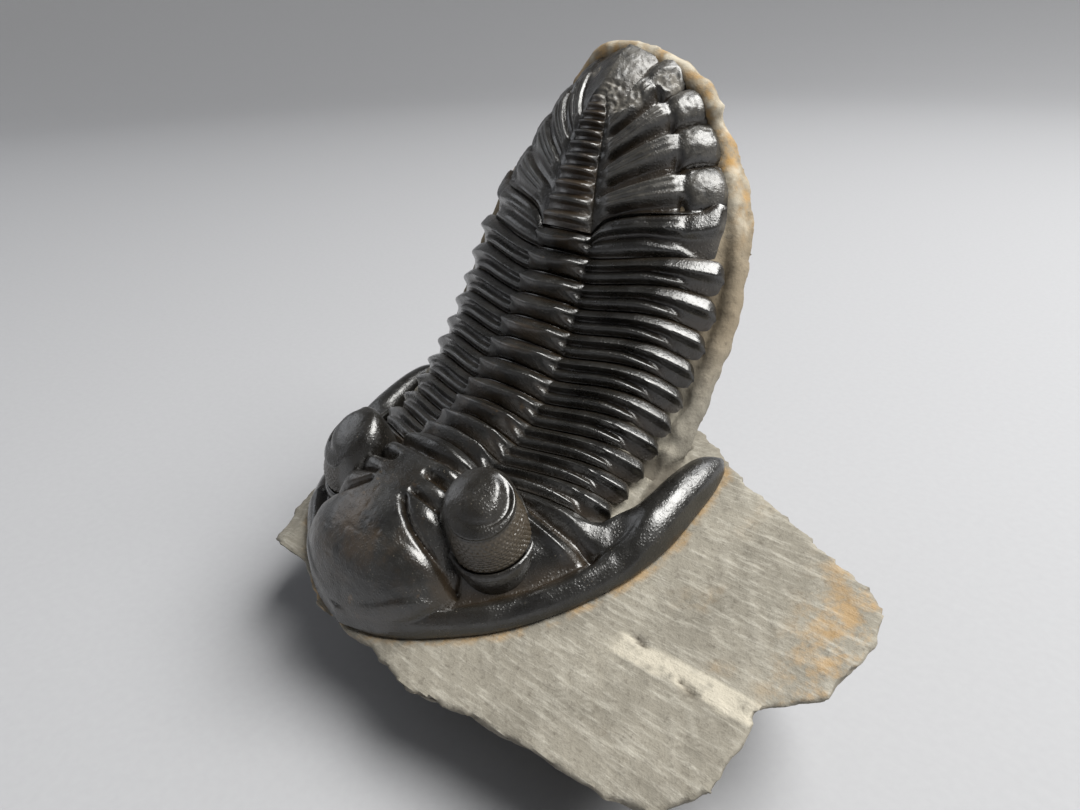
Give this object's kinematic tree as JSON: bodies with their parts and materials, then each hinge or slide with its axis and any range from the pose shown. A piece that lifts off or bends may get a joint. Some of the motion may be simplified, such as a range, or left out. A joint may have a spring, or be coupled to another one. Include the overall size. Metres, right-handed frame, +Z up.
{
  "type": "trilobite fossil",
  "caption": "Spiny trilobite fossil, dark and glossy, arching up off the pale block of limestone it lies on; a display or desk specimen.",
  "frame": {"origin": "middle of the bounding box at floor level", "axes": "+Z up; the head faces -Y; +X is the animal's left, where the slab reaches out"},
  "size_m": [0.0766, 0.059, 0.0685],
  "materials": {
    "limestone": "broken and scraped stone",
    "fossil_calcite": "waxed dark calcite"
  },
  "bodies": {
    "root": {"matrix": "limestone", "cephalon": "fossil_calcite", "thoracic_segment_01": "fossil_calcite", "thoracic_segment_02": "fossil_calcite", "thoracic_segment_03": "fossil_calcite", "thoracic_segment_04": "fossil_calcite", "thoracic_segment_05": "fossil_calcite", "thoracic_segment_06": "fossil_calcite", "thoracic_segment_07": "fossil_calcite", "thoracic_segment_08": "fossil_calcite", "thoracic_segment_09": "fossil_calcite", "thoracic_segment_10": "fossil_calcite", "thoracic_segment_11": "fossil_calcite", "pygidium": "fossil_calcite"}
  },
  "joints": []
}
